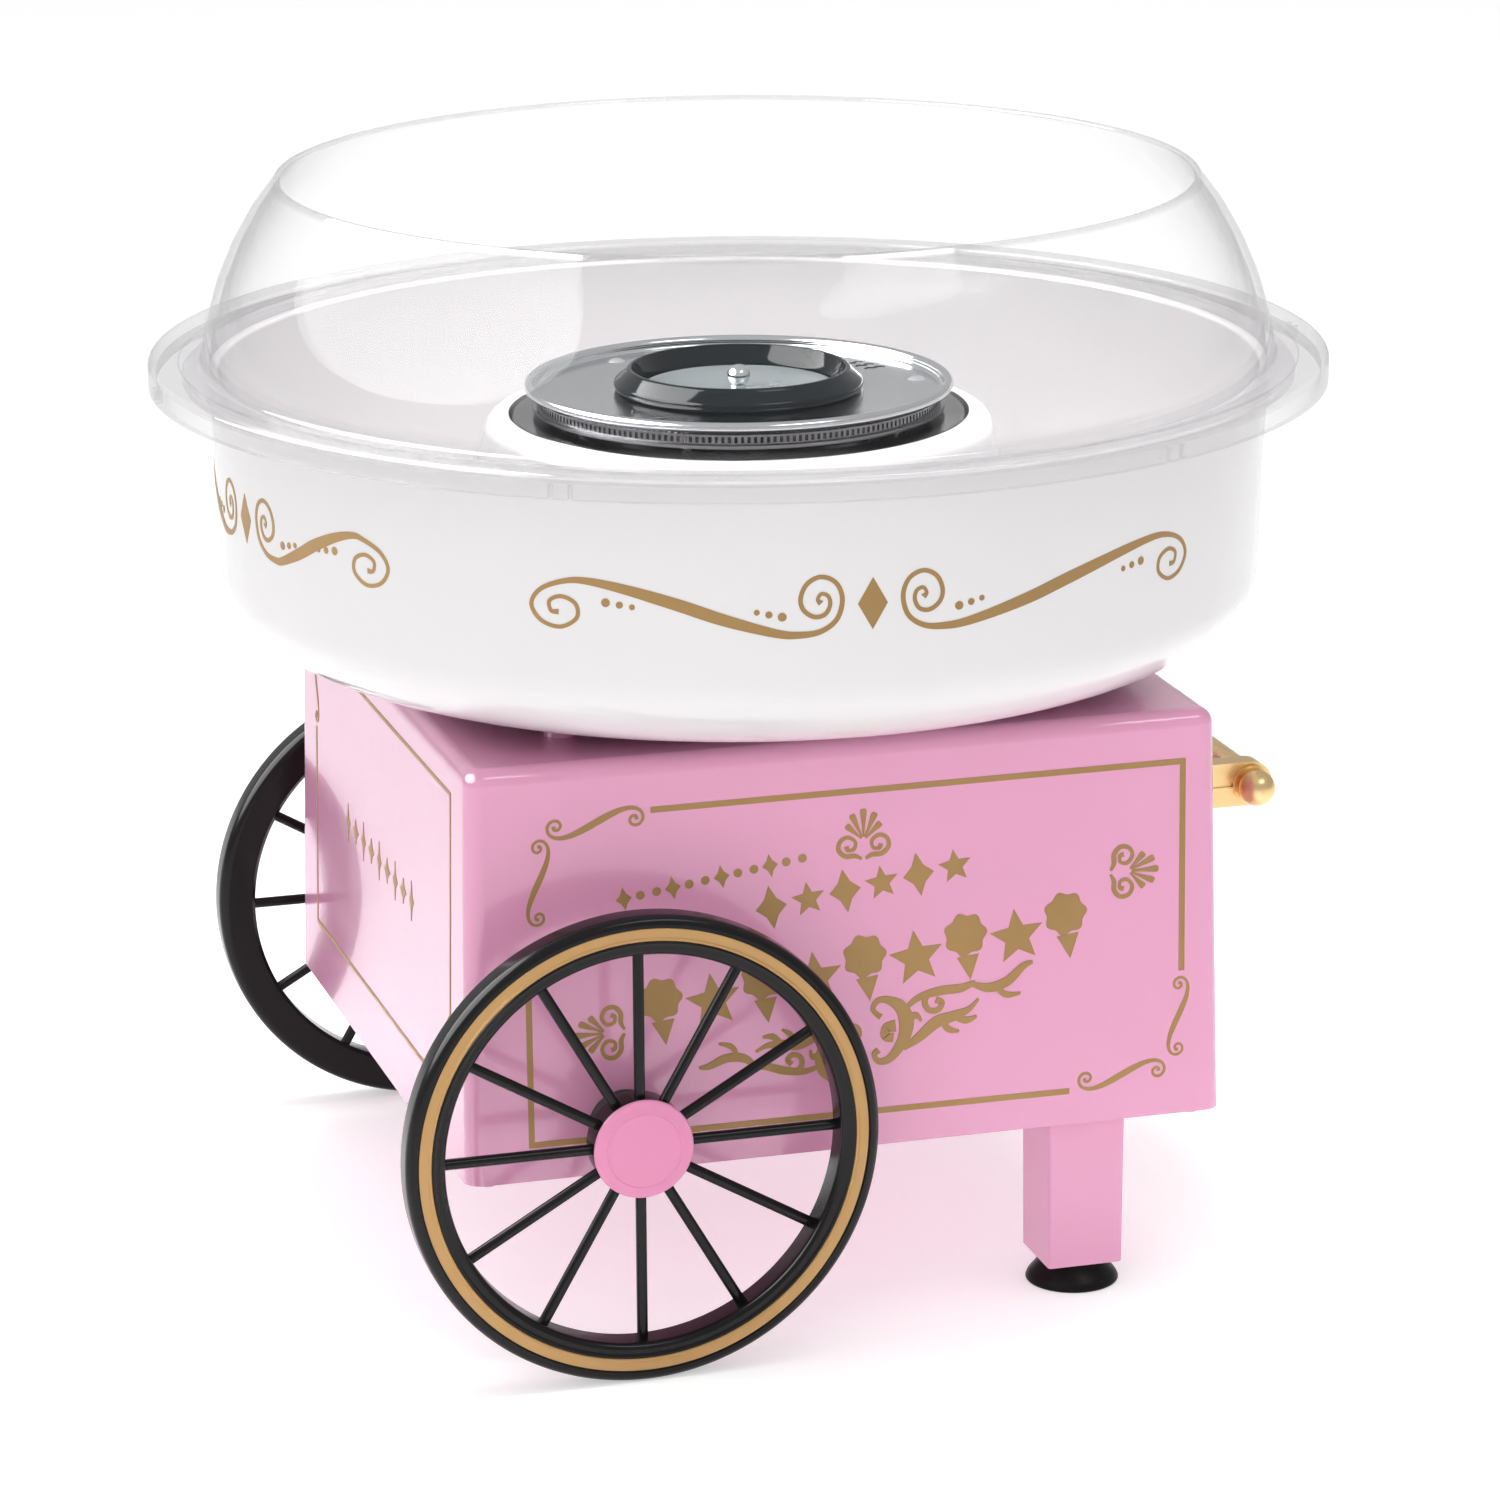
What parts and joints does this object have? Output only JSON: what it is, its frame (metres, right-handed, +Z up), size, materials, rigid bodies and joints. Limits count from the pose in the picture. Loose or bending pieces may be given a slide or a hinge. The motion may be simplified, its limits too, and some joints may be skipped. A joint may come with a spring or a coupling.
{
  "type": "cotton candy machine",
  "caption": "Table-top cotton candy machine shaped as a carnival cart: box base on spoked wheels and suction feet, round bowl, spinning extractor head, clear rim guard.",
  "frame": {"origin": "on the ground, under the axis of the bowl and the motor shaft", "axes": "+Z up along the motor shaft, +X towards the push handle, -Y out of the decorated front face"},
  "size_m": [0.298, 0.298, 0.2745],
  "materials": {
    "pink_plastic": "glossy moulded",
    "white_plastic": "glossy moulded",
    "black_plastic": "glossy moulded",
    "gold_plastic": "satin gold",
    "clear_plastic": "clear polished",
    "head_steel": "brushed",
    "shaft_steel": "polished",
    "black_enamel": "glossy enamel",
    "pan_steel": "dark heat-toned",
    "tower_steel": "satin",
    "zinc_steel": "zinc plated",
    "bronze": "sintered",
    "magnet": "matt",
    "copper": "enamelled",
    "rubber": "matt",
    "ceramic": "matt",
    "board_green": "matt",
    "black_matt_plastic": "matt",
    "wire_sleeve": "matt"
  },
  "bodies": {
    "base": {"base_housing": "pink_plastic", "bottom_plate": "pink_plastic", "base_screws": "zinc_steel", "front_leg": "pink_plastic", "rear_leg": "pink_plastic", "front_foot": "rubber", "rear_foot": "rubber", "leg_screws": "zinc_steel", "axle": "shaft_steel", "axle_bushes": "black_matt_plastic", "axle_clips": "zinc_steel", "handle_bar": "gold_plastic", "front_handle_arm": "gold_plastic", "rear_handle_arm": "gold_plastic", "front_finial": "gold_plastic", "rear_finial": "gold_plastic", "handle_screws": "zinc_steel", "switch_body": "black_matt_plastic", "cord_gland": "rubber", "circuit_board": "board_green", "board_standoffs": "black_matt_plastic", "board_screws": "zinc_steel", "board_parts": "black_matt_plastic", "motor_can": "zinc_steel", "motor_end_cap": "zinc_steel", "motor_bearings": "bronze", "motor_magnets": "magnet", "motor_bracket": "zinc_steel", "motor_grommets": "rubber", "motor_screws": "zinc_steel", "heater_tower": "tower_steel", "tower_screws": "zinc_steel", "heater_pan": "pan_steel", "heater_element": "pan_steel", "ceramic_insulators": "ceramic", "thermal_cutout": "zinc_steel", "wiring": "wire_sleeve"},
    "spindle": {"motor_shaft": "shaft_steel", "motor_rotor": "copper", "drive_pin": "shaft_steel", "cooling_fan": "black_matt_plastic"},
    "extractor_head": {"head_upper_plate": "head_steel", "head_collar": "black_enamel", "head_cup": "head_steel", "head_lower_plate": "head_steel", "head_mesh": "head_steel", "head_hub": "tower_steel", "head_rivets": "head_steel"},
    "bowl": {"bowl": "white_plastic"},
    "guard": {"rim_guard": "clear_plastic"},
    "front_wheel": {"front_wheel_rim": "black_plastic", "front_wheel_hub": "black_plastic", "front_wheel_spokes": "black_plastic", "front_hub_cap": "pink_plastic"},
    "rear_wheel": {"rear_wheel_rim": "black_plastic", "rear_wheel_hub": "black_plastic", "rear_wheel_spokes": "black_plastic", "rear_hub_cap": "pink_plastic"},
    "rocker": {"switch_rocker": "black_plastic"}
  },
  "joints": [
    {"name": "front_wheel_spin", "type": "hinge", "parent": "base", "child": "front_wheel", "pos_m": [-0.0581, 0, 0.059], "axis": [0, 1, 0], "continuous": true},
    {"name": "rear_wheel_spin", "type": "hinge", "parent": "base", "child": "rear_wheel", "pos_m": [-0.0581, 0, 0.059], "axis": [0, 1, 0], "continuous": true},
    {"name": "spindle_spin", "type": "hinge", "parent": "base", "child": "spindle", "pos_m": [0, 0, 0.2], "axis": [0, 0, 1], "continuous": true},
    {"name": "head_lift", "type": "slide", "parent": "spindle", "child": "extractor_head", "axis": [0, 0, 1], "range_m": [0, 0.075]},
    {"name": "bowl_lift", "type": "slide", "parent": "base", "child": "bowl", "axis": [0, 0, 1], "range_m": [0, 0.08]},
    {"name": "guard_lift", "type": "slide", "parent": "bowl", "child": "guard", "axis": [0, 0, 1], "range_m": [0, 0.06]},
    {"name": "switch_rock", "type": "hinge", "parent": "base", "child": "rocker", "pos_m": [0.0962, 0, 0.085], "axis": [0, 1, 0], "range_deg": [0, 14]}
  ]
}
